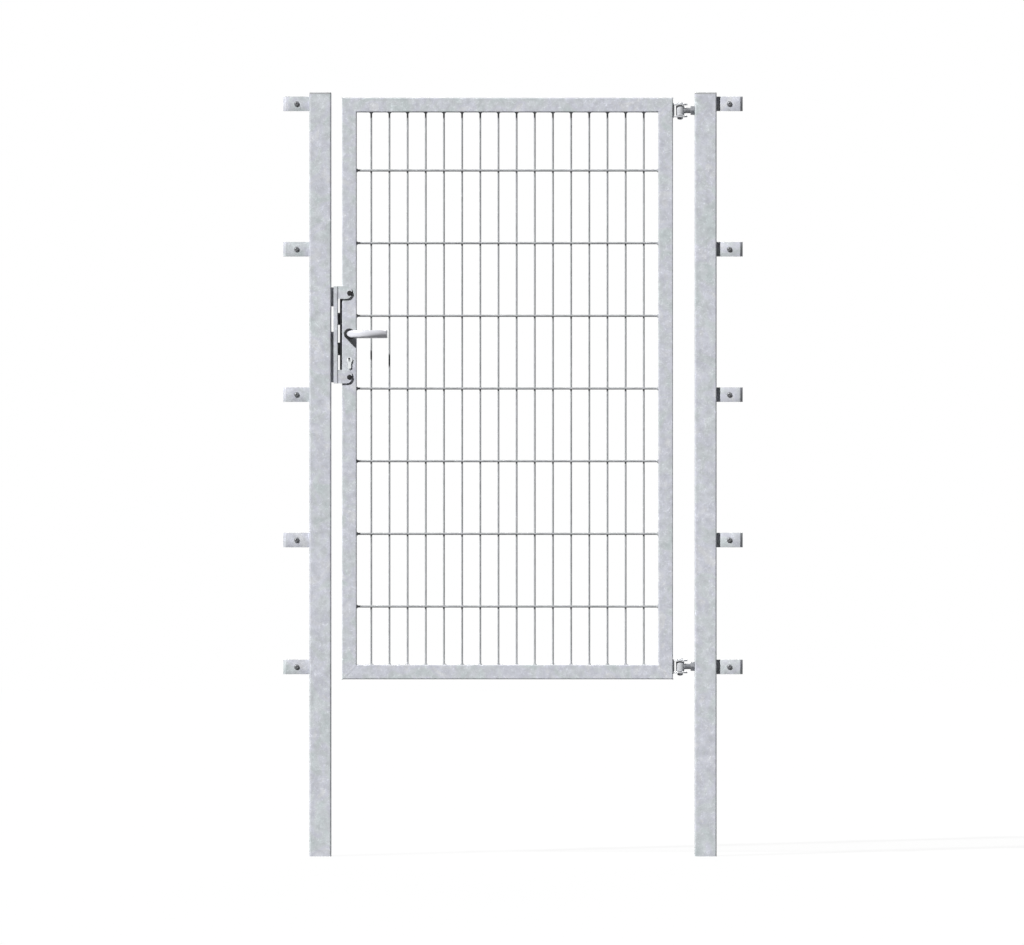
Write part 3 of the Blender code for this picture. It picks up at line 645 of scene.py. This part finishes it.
def clamp_screws(post):
    """Button-head screw, washer and nut through each clamp of one post."""
    work = bmesh.new()
    side = POSTS[post]
    for number in clamp_numbers(post):
        low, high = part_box(f"{post}_clamp_plate_{number}")
        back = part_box(f"{post}_clamp_tab_{number}")[1].y
        face = low.x if side > 0 else high.x
        centre = (face + side * SCREW_REACH, 0.0, (low.z + high.z) / 2)
        seat = low.y
        crown = seat - SCREW_HEAD_HEIGHT
        shoulder = dome(seat, -SCREW_HEAD_HEIGHT, SCREW_HEAD_RADIUS, SCREW_HEAD_RIM)[:5]
        socket = [
            (crown, SCREW_SOCKET_MOUTH),
            (crown + SCREW_HEAD_HEIGHT / 2, SCREW_SOCKET_FLOOR),
        ]
        lathe(work, "Y", centre, shoulder + socket, 28)
        nut = back + SCREW_WASHER
        end = nut + SCREW_NUT_HEIGHT + 2 * SCREW_PITCH
        threaded_rod(work, "Y", centre, SCREW_RADIUS, SCREW_PITCH, seat + JOINT_LAP, end)
        profile = (
            (back, SCREW_WASHER_RADIUS),
            (nut, SCREW_WASHER_RADIUS),
            (nut, SCREW_RADIUS),
            (back, SCREW_RADIUS),
        )
        lathe(work, "Y", centre, profile, 28, hollow=True)
        top = nut + SCREW_NUT_HEIGHT
        hexagon_nut(work, "Y", centre, SCREW_NUT_FLATS, nut, top, SCREW_RADIUS)
    name = f"{post}_clamp_screws"
    finish_piece(work, name, "zinc_plated_steel", "posts", finish="dull_zinc")


def clamp_welds(post):
    """Fillets in front of and behind each tab, where it stands on the post."""
    work = bmesh.new()
    side = POSTS[post]
    for number in clamp_numbers(post):
        low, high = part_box(f"{post}_clamp_tab_{number}")
        face = low.x if side > 0 else high.x
        for y, normal in ((low.y, -1), (high.y, 1)):
            start = (face, y, low.z + FILLET_INSET)
            end = (face, y, high.z - FILLET_INSET)
            bead(work, start, end, (side, normal, 0), 2 * FILLET_RADIUS, FILLET_RADIUS)
    finish_piece(work, f"{post}_clamp_welds", "galvanised_steel", "posts")


def keep_welds():
    """Fillets along the pads of the keep, down the face of the latch post."""
    work = bmesh.new()
    low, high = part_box("keep")
    middle = high.y - KEEP_HALF_SHEET
    seams = (
        (high.z - KEEP_UPPER_PAD, high.z - KEEP_END),
        (low.z + KEEP_END, low.z + KEEP_LOWER_PAD),
    )
    for bottom, top in seams:
        start = (low.x, middle, bottom)
        end = (low.x, middle, top)
        bead(work, start, end, (1, 1, 0), 2 * FILLET_RADIUS, FILLET_RADIUS)
    finish_piece(work, "keep_welds", "galvanised_steel", "posts")


def eye_bolt(place):
    """Forged eye with rounded ends, on a threaded shank."""
    node = f"eye_bolt_{place}"
    low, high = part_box(node)
    outer = (high.y - low.y) / 2
    half = (high.z - low.z) / 2
    centre = Vector((low.x + outer, 0.0, (low.z + high.z) / 2))
    bore = PIN_RADIUS + EYE_CLEARANCE
    top = half - EYE_EDGE
    inner = outer - EYE_EDGE
    work = bmesh.new()
    profile = [(-half, bore), (-half, inner)]
    for step in range(1, 5):
        angle = step / 4 * pi / 2
        profile.append((-top - EYE_EDGE * cos(angle), inner + EYE_EDGE * sin(angle)))
    for step in range(5):
        angle = step / 4 * pi / 2
        profile.append((top + EYE_EDGE * sin(angle), inner + EYE_EDGE * cos(angle)))
    profile.append((half, bore))
    lathe(work, "Z", centre, profile, 40, hollow=True)
    finish_piece(work, f"{node}_forged", "zinc_plated_steel", "posts", node)
    axis = (0.0, 0.0, centre.z)
    neck = centre.x + outer + EYE_NECK
    profile = (
        (centre.x + EYE_OVERLAP * outer, SHANK_RADIUS),
        (neck, SHANK_RADIUS),
        (neck, 0.8 * SHANK_RADIUS),
    )
    work = bmesh.new()
    lathe(work, "X", axis, profile, 28)
    start = neck - JOINT_LAP
    threaded_rod(work, "X", axis, SHANK_RADIUS, SHANK_PITCH, start, high.x, 28)
    finish_piece(work, f"{node}_shank", "zinc_plated_steel", "posts", finish="bolt_zinc")


def lock_nut(place):
    node = f"eye_bolt_nut_{place}"
    low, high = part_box(node)
    centre = (0.0, 0.0, (low.z + high.z) / 2)
    work = bmesh.new()
    hexagon_nut(work, "X", centre, high.z - low.z, low.x, high.x, SHANK_RADIUS)
    name = f"{node}_chamfered"
    finish_piece(work, name, "zinc_plated_steel", "posts", node, finish="bolt_zinc")


def stop_buffer(place):
    """Rubber button: domed head in front of the ear, stem through it, pad behind. The head is
    dropped and widened so that its black rubber also covers part of its own shadow, which is
    painted shadow.
    """
    node = f"stop_buffer_{place}"
    low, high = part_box(node)
    ear = low.y + STOP_HEAD
    radius = STOP_SHADOW_SWELL * (high.x - low.x) / 2
    centre = ((low.x + high.x) / 2, 0.0, (low.z + high.z) / 2 - STOP_SHADOW_DROP)
    work = bmesh.new()
    lathe(work, "Y", centre, dome(ear, low.y - ear, radius, STOP_HEAD_RIM), 36)
    stem_end = high.y - STOP_PAD + STOP_STEM_LAP
    lathe(work, "Y", centre, ((ear, radius / 2), (stem_end, radius / 2)), 24)
    pad = (
        (high.y - STOP_PAD, radius),
        (high.y - STOP_PAD_RIM, radius),
        (high.y, 0.92 * radius),
    )
    lathe(work, "Y", centre, pad, 36)
    finish_piece(work, f"{node}_moulded", "stop_rubber", "posts", node)


# Pieces of the leaf


def wire_collars(work, axis, centre, low, high, radius, waist):
    """Flared weld at each end of a wire, where it meets the frame."""
    for end, inward in ((low, 1), (high, -1)):
        profile = (
            (end, COLLAR_RADIUS),
            (end + inward * 0.35 * COLLAR_LENGTH, waist * COLLAR_RADIUS),
            (end + inward * COLLAR_LENGTH, 1.02 * radius),
        )
        lathe(work, axis, centre, profile, WIRE_SIDES)


def welded_mesh():
    """Upright wires between two layers of cross rods, welded at every crossing."""
    low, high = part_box("mesh_panel")
    middle_x = (low.x + high.x) / 2
    middle_z = (low.z + high.z) / 2
    layer = UPRIGHT_RADIUS + CROSS_RADIUS - WELD_SINK
    columns = [middle_x + (k - (UPRIGHTS - 1) / 2) * UPRIGHT_PITCH for k in range(UPRIGHTS)]
    rows = [middle_z + (k - (CROSS_RODS - 1) / 2) * CROSS_PITCH for k in range(CROSS_RODS)]
    work = bmesh.new()
    for x in columns:
        outline = [(x + u, v) for u, v in circle(UPRIGHT_RADIUS, WIRE_SIDES)]
        prism(work, "Z", outline, low.z, high.z)
        wire_collars(work, "Z", (x, 0.0, 0.0), low.z, high.z, UPRIGHT_RADIUS, UPRIGHT_WAIST)
    for y in (-layer, layer):
        for z in rows:
            outline = [(y + u, z + v) for u, v in circle(CROSS_RADIUS, WIRE_SIDES)]
            prism(work, "X", outline, low.x, high.x)
            wire_collars(work, "X", (0.0, y, z), low.x, high.x, CROSS_RADIUS, CROSS_WAIST)
    contact = UPRIGHT_RADIUS - WELD_SINK / 2
    for x in columns:
        for z in rows:
            for y in (-contact, contact):
                lathe(work, "Y", (x, y, z), NUGGET, NUGGET_SIDES)
    name = "mesh_wires"
    finish_piece(work, name, "galvanised_steel", "leaf", "mesh_panel", finish="galvanised_wire")


def frame_welds():
    """Ground seams over the mitres, and beads along the corners of the frame."""
    low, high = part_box("frame_lock_stile")
    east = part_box("frame_hinge_stile")[1].x
    side = high.x - low.x
    depth = side / 2
    reach = Vector((0.0, depth - CORNER_INSET, 0.0))
    work = bmesh.new()
    for x, to_x in ((low.x, 1), (east, -1)):
        for z, to_z in ((low.z, 1), (high.z, -1)):
            edge = Vector((x, 0.0, z))
            inward = Vector((to_x, 0.0, to_z))
            outer = edge + inward * SEAM_OUTER_INSET
            inner = edge + inward * (side - SEAM_INNER_INSET)
            for y in (-depth, depth):
                lift = Vector((0.0, y, 0.0))
                bead(work, outer + lift, inner + lift, (0, y, 0), SEAM_WIDTH, SEAM_HEIGHT)
            corner = edge + inward * side
            bead(work, corner - reach, corner + reach, inward, CORNER_WIDTH, CORNER_HEIGHT)
            bead(work, edge - reach, edge + reach, -inward, EDGE_WIDTH, CORNER_HEIGHT)
    finish_piece(work, "frame_welds", "galvanised_steel", "leaf")


def hinge_fork(place):
    """Web and two arms with round ends, bent from one strip."""
    node = f"hinge_fork_{place}"
    low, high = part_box(node)
    bolt_low, bolt_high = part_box(f"hinge_bolt_{place}")
    pin_x = (bolt_low.x + bolt_high.x) / 2
    half = (high.y - low.y) / 2 + FORK_SWELL
    reach = high.x + FORK_STRETCH - pin_x
    arm = [(low.x, -half)]
    for step in range(FORK_ARC_STEPS + 1):
        angle = pi * (step / FORK_ARC_STEPS - 0.5)
        arm.append((pin_x + reach * cos(angle), half * sin(angle)))
    arm.append((low.x, half))
    web = low.x + FORK_PLATE
    work = bmesh.new()
    prism(work, "Z", arm, high.z - FORK_PLATE, high.z, bevel=FORK_EDGE)
    prism(work, "Z", arm, low.z, low.z + FORK_PLATE, bevel=FORK_EDGE)
    front = low.y - WEB_SWELL
    back = high.y + WEB_SWELL
    outline = [(low.x, front), (web, front), (web, back), (low.x, back)]
    prism(work, "Z", outline, low.z + WEB_INSET, high.z - WEB_INSET, bevel=FORK_EDGE)
    finish_piece(work, f"{node}_bent", "zinc_plated_steel", "leaf", node)


def hinge_weld(place):
    """Bead round the web of the fork, on the hinge stile."""
    low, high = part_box(f"hinge_fork_{place}")
    x = low.x
    corners = (
        Vector((x, low.y, low.z)),
        Vector((x, high.y, low.z)),
        Vector((x, high.y, high.z)),
        Vector((x, low.y, high.z)),
    )
    normals = ((1, 0, -1), (1, 1, 0), (1, 0, 1), (1, -1, 0))
    work = bmesh.new()
    for index, normal in enumerate(normals):
        start = corners[index]
        end = corners[(index + 1) % 4]
        bead(work, start, end, normal, 2 * FILLET_RADIUS, 0.8 * FILLET_RADIUS)
    finish_piece(work, f"hinge_weld_{place}", "galvanised_steel", "leaf")


def hinge_bolt(place):
    """Domed bolt with a washer and a nut under the fork."""
    node = f"hinge_bolt_{place}"
    fork_low, fork_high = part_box(f"hinge_fork_{place}")
    low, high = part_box(node)
    head = (high.y - low.y) / 2
    centre = ((low.x + high.x) / 2, 0.0, 0.0)
    top = fork_high.z
    foot = fork_low.z
    under = foot - PIN_WASHER
    washer = PIN_WASHER_SHARE * head
    flats = PIN_NUT_SHARE * head
    work = bmesh.new()
    lathe(work, "Z", centre, dome(top, high.z - top, head, PIN_HEAD_RIM), 32)
    lathe(work, "Z", centre, ((foot, PIN_RADIUS), (top + JOINT_LAP, PIN_RADIUS)), 24)
    profile = ((foot, washer), (under, washer), (under, PIN_RADIUS), (foot, PIN_RADIUS))
    lathe(work, "Z", centre, profile, 32, hollow=True)
    hexagon_nut(work, "Z", centre, flats, low.z + PIN_NUT_LIFT, under, PIN_NUT_BORE)
    threaded_rod(work, "Z", centre, PIN_THREAD_RADIUS, PIN_PITCH, low.z, foot)
    finish_piece(work, f"{node}_detailed", "zinc_plated_steel", "leaf", node)


def rose(place):
    """Long black round boss with a soft edge, round the neck of a lever."""
    node = f"rose_{place}"
    low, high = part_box(node)
    side = SIDES[place]
    back = high.y if side < 0 else low.y
    front = low.y if side < 0 else high.y
    radius = (high.x - low.x) / 2
    bore = NECK_RADIUS + ROSE_CLEARANCE
    profile = [(back, radius)]
    for step in range(7):
        angle = step / 6 * pi / 2
        along = front - side * ROSE_EDGE * (1 - sin(angle))
        profile.append((along, radius - ROSE_EDGE * (1 - cos(angle))))
    profile += [(front, bore + ROSE_CHAMFER), (front - side * ROSE_CHAMFER, bore), (back, bore)]
    work = bmesh.new()
    centre = ((low.x + high.x) / 2, 0.0, (low.z + high.z) / 2)
    lathe(work, "Y", centre, profile, 64, hollow=True)
    finish_piece(work, f"{node}_moulded", "rose_plastic", "leaf", node)


def cylinder_plug(place):
    """Turning plug in the round part of the cylinder, with its key slot drawn as a thin black
    shape on its face: painted shade for the keyway's recess.
    """
    side = SIDES[place]
    low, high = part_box("lock_cylinder")
    face = low.y if side < 0 else high.y
    centre_x = (low.x + high.x) / 2 + PLUG_SHIFT
    centre_z = high.z - (high.x - low.x) / 2
    work = bmesh.new()
    edge = face + side * PLUG_RISE
    profile = (
        (face - side * PLUG_SINK, PLUG_RADIUS),
        (edge - side * 0.4 * PLUG_RISE, PLUG_RADIUS),
        (edge, 0.93 * PLUG_RADIUS),
    )
    lathe(work, "Y", (centre_x, 0.0, centre_z), profile, 32)
    finish_piece(work, f"cylinder_plug_{place}", "satin_nickel", "leaf")
    # The key slot is a black shape raised a hair above the plug: painted shade for the keyway's
    # recess
    top = centre_z + KEY_SLOT_LIFT + KEY_SLOT_HEIGHT / 2
    foot = centre_z + KEY_SLOT_LIFT - KEY_SLOT_HEIGHT / 2
    outline = (
        (centre_x - KEY_SLOT_WIDTH / 2, top),
        (centre_x + KEY_SLOT_WIDTH / 2, top),
        (centre_x + KEY_SLOT_WIDTH / 5, foot),
        (centre_x - KEY_SLOT_WIDTH / 5, foot),
    )
    work = bmesh.new()
    ends = sorted((edge - side * PLUG_SINK, edge + side * KEY_SLOT_RISE))
    prism(work, "Y", outline, *ends)
    finish_piece(work, f"keyway_painted_shade_{place}", "stop_rubber", "leaf")


def forend_screws():
    """Countersunk screws that hold the lock in the stile."""
    low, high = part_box("lock_case")
    work = bmesh.new()
    for z in (low.z + FOREND_SCREW_INSET, high.z - FOREND_SCREW_INSET):
        profile = (
            (low.x - FOREND_SCREW_RISE, 0.8 * FOREND_SCREW_RADIUS),
            (low.x, FOREND_SCREW_RADIUS),
            (low.x + FOREND_SCREW_DEPTH, FOREND_SCREW_RADIUS / 2),
        )
        lathe(work, "X", (0.0, 0.0, z), profile, 24)
    finish_piece(work, "forend_screws", "zinc_plated_steel", "leaf")


# Handles


def grip_bow(share):
    """How far the grip has bowed out at this share of its run, on a parabola."""
    slope = 2 * (GRIP_CREST + sqrt(GRIP_CREST * (GRIP_CREST + GRIP_RETURN)))
    return slope * share - (slope + GRIP_RETURN) * share * share


def lever(place):
    """Bowed lever, squared at its root, on a neck that swells into it."""
    node = f"handle_{place}"
    low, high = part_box(node)
    rose_low, rose_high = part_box(f"rose_{place}")
    side = SIDES[place]
    crest_y = low.y if side < 0 else high.y
    root = high.y if side < 0 else low.y
    start_y = crest_y - side * (GRIP_CREST + GRIP_RADIUS)
    axis_x = (rose_low.x + rose_high.x) / 2
    axis_z = (rose_low.z + rose_high.z) / 2
    left = axis_x - GRIP_OVERHANG + GRIP_ROOT
    length = high.x - GRIP_TIP_BEVEL - left
    profile = []
    for step in range(GRIP_ROOT_STEPS + 1):
        turn = (90 - GRIP_ROOT_START_DEGREES) * step / GRIP_ROOT_STEPS
        angle = radians(GRIP_ROOT_START_DEGREES + turn)
        profile.append((left - GRIP_ROOT * cos(angle), GRIP_RADIUS * sin(angle)))
    for step in range(1, GRIP_STEPS + 1):
        profile.append((left + length * step / GRIP_STEPS, GRIP_RADIUS))
    for bevel, size in GRIP_TIP:
        profile.append((high.x - bevel * GRIP_TIP_BEVEL, size * GRIP_RADIUS))
    rings = []
    for along, radius in profile:
        share = (along - left) / (high.x - left)
        centre = Vector((along, start_y + side * grip_bow(share), axis_z - GRIP_DROP))
        power = 2 + ROOT_SQUARE * min(1.0, max(0.0, 1 - share / ROOT_SHARE))
        outline = squared_circle(radius, GRIP_SIDES, power)
        rings.append(ring_at("X", centre, outline, 0.0))
    work = bmesh.new()
    add_shell(work, rings)
    reach = abs(start_y - root)
    profile = []
    for share, swell in NECK:
        profile.append((root + side * reach * share, NECK_RADIUS * swell))
    lathe(work, "Y", (axis_x, 0.0, axis_z), profile, 40)
    finish_piece(work, f"lever_{place}", "satin_aluminium", "handle", node)


for post in POSTS:
    cap_crown(post)
    clamp_plates(post)
    clamp_screws(post)
    clamp_welds(post)
keep_welds()
welded_mesh()
frame_welds()
forend_screws()
for place in PLACES:
    eye_bolt(place)
    lock_nut(place)
    stop_buffer(place)
    hinge_fork(place)
    hinge_weld(place)
    hinge_bolt(place)
for place in SIDES:
    rose(place)
    lever(place)
    cylinder_plug(place)


# Studio


def background_rays(tree):
    """1 for the rays that show the background: those of the camera, of gloss and of glass."""
    path = tree.nodes.new("ShaderNodeLightPath")
    total = path.outputs["Is Camera Ray"]
    for name in ("Is Glossy Ray", "Is Transmission Ray"):
        larger = tree.nodes.new("ShaderNodeMath")
        larger.operation = "MAXIMUM"
        tree.links.new(total, larger.inputs[0])
        tree.links.new(path.outputs[name], larger.inputs[1])
        total = larger.outputs["Value"]
    return total


def studio_floor():
    """Pale floor, seen almost white, that keeps a faint shadow."""
    half = FLOOR_SIZE / 2
    mesh = bpy.data.meshes.new("studio_floor")
    corners = [(-half, -half, 0.0), (half, -half, 0.0), (half, half, 0.0), (-half, half, 0.0)]
    mesh.from_pydata(corners, [], [(0, 1, 2, 3)])
    floor = bpy.data.objects.new("studio_floor", mesh)
    bpy.context.scene.collection.objects.link(floor)
    material = bpy.data.materials.new("studio_floor")
    material.use_nodes = True
    tree = material.node_tree
    tree.nodes.clear()
    output = tree.nodes.new("ShaderNodeOutputMaterial")
    pale = tree.nodes.new("ShaderNodeBsdfDiffuse")
    pale.inputs["Color"].default_value = (FLOOR_PALE, FLOOR_PALE, FLOOR_PALE, 1.0)
    dim = tree.nodes.new("ShaderNodeBsdfDiffuse")
    dim.inputs["Color"].default_value = (FLOOR_DIM, FLOOR_DIM, FLOOR_DIM, 1.0)
    white = tree.nodes.new("ShaderNodeEmission")
    seen = tree.nodes.new("ShaderNodeMixShader")
    seen.inputs["Fac"].default_value = FLOOR_WHITE
    tree.links.new(pale.outputs["BSDF"], seen.inputs[1])
    tree.links.new(white.outputs["Emission"], seen.inputs[2])
    choose = tree.nodes.new("ShaderNodeMixShader")
    tree.links.new(background_rays(tree), choose.inputs["Fac"])
    tree.links.new(dim.outputs["BSDF"], choose.inputs[1])
    tree.links.new(seen.outputs["Shader"], choose.inputs[2])
    tree.links.new(choose.outputs["Shader"], output.inputs["Surface"])
    mesh.materials.append(material)


def studio_world():
    """Even grey light all round, with a white background."""
    world = bpy.data.worlds.new("studio")
    world.use_nodes = True
    tree = world.node_tree
    background = tree.nodes["Background"]
    background.inputs["Color"].default_value = (1.0, 1.0, 1.0, 1.0)
    strength = tree.nodes.new("ShaderNodeMapRange")
    strength.inputs["To Min"].default_value = AMBIENT
    strength.inputs["To Max"].default_value = 1.0
    tree.links.new(background_rays(tree), strength.inputs["Value"])
    tree.links.new(strength.outputs["Result"], background.inputs["Strength"])
    bpy.context.scene.world = world


def lamp(name, direction, strength, angle):
    light = bpy.data.lights.new(name, "SUN")
    light.energy = strength
    light.angle = angle
    obj = bpy.data.objects.new(name, light)
    obj.rotation_euler = Vector(direction).to_track_quat("-Z", "Y").to_euler()
    bpy.context.scene.collection.objects.link(obj)


def camera():
    lens = bpy.data.cameras.new("camera")
    lens.sensor_width = SENSOR_WIDTH
    lens.lens = SENSOR_WIDTH * CAMERA_DISTANCE / (IMAGE_WIDTH * PHOTO_SCALE)
    lens.clip_end = 2 * FLOOR_SIZE
    obj = bpy.data.objects.new("camera", lens)
    obj.location = (CAMERA_X, PHOTO_PLANE_Y - CAMERA_DISTANCE, CAMERA_HEIGHT)
    obj.rotation_euler = (pi / 2, 0.0, 0.0)
    bpy.context.scene.collection.objects.link(obj)
    bpy.context.scene.camera = obj


studio_floor()
studio_world()
lamp("key", KEY_DIRECTION, KEY_STRENGTH, KEY_ANGLE)
lamp("side", SIDE_DIRECTION, SIDE_STRENGTH, SOFT_ANGLE)
lamp("back", BACK_DIRECTION, BACK_STRENGTH, SOFT_ANGLE)
camera()
bpy.context.scene.view_settings.view_transform = "Standard"
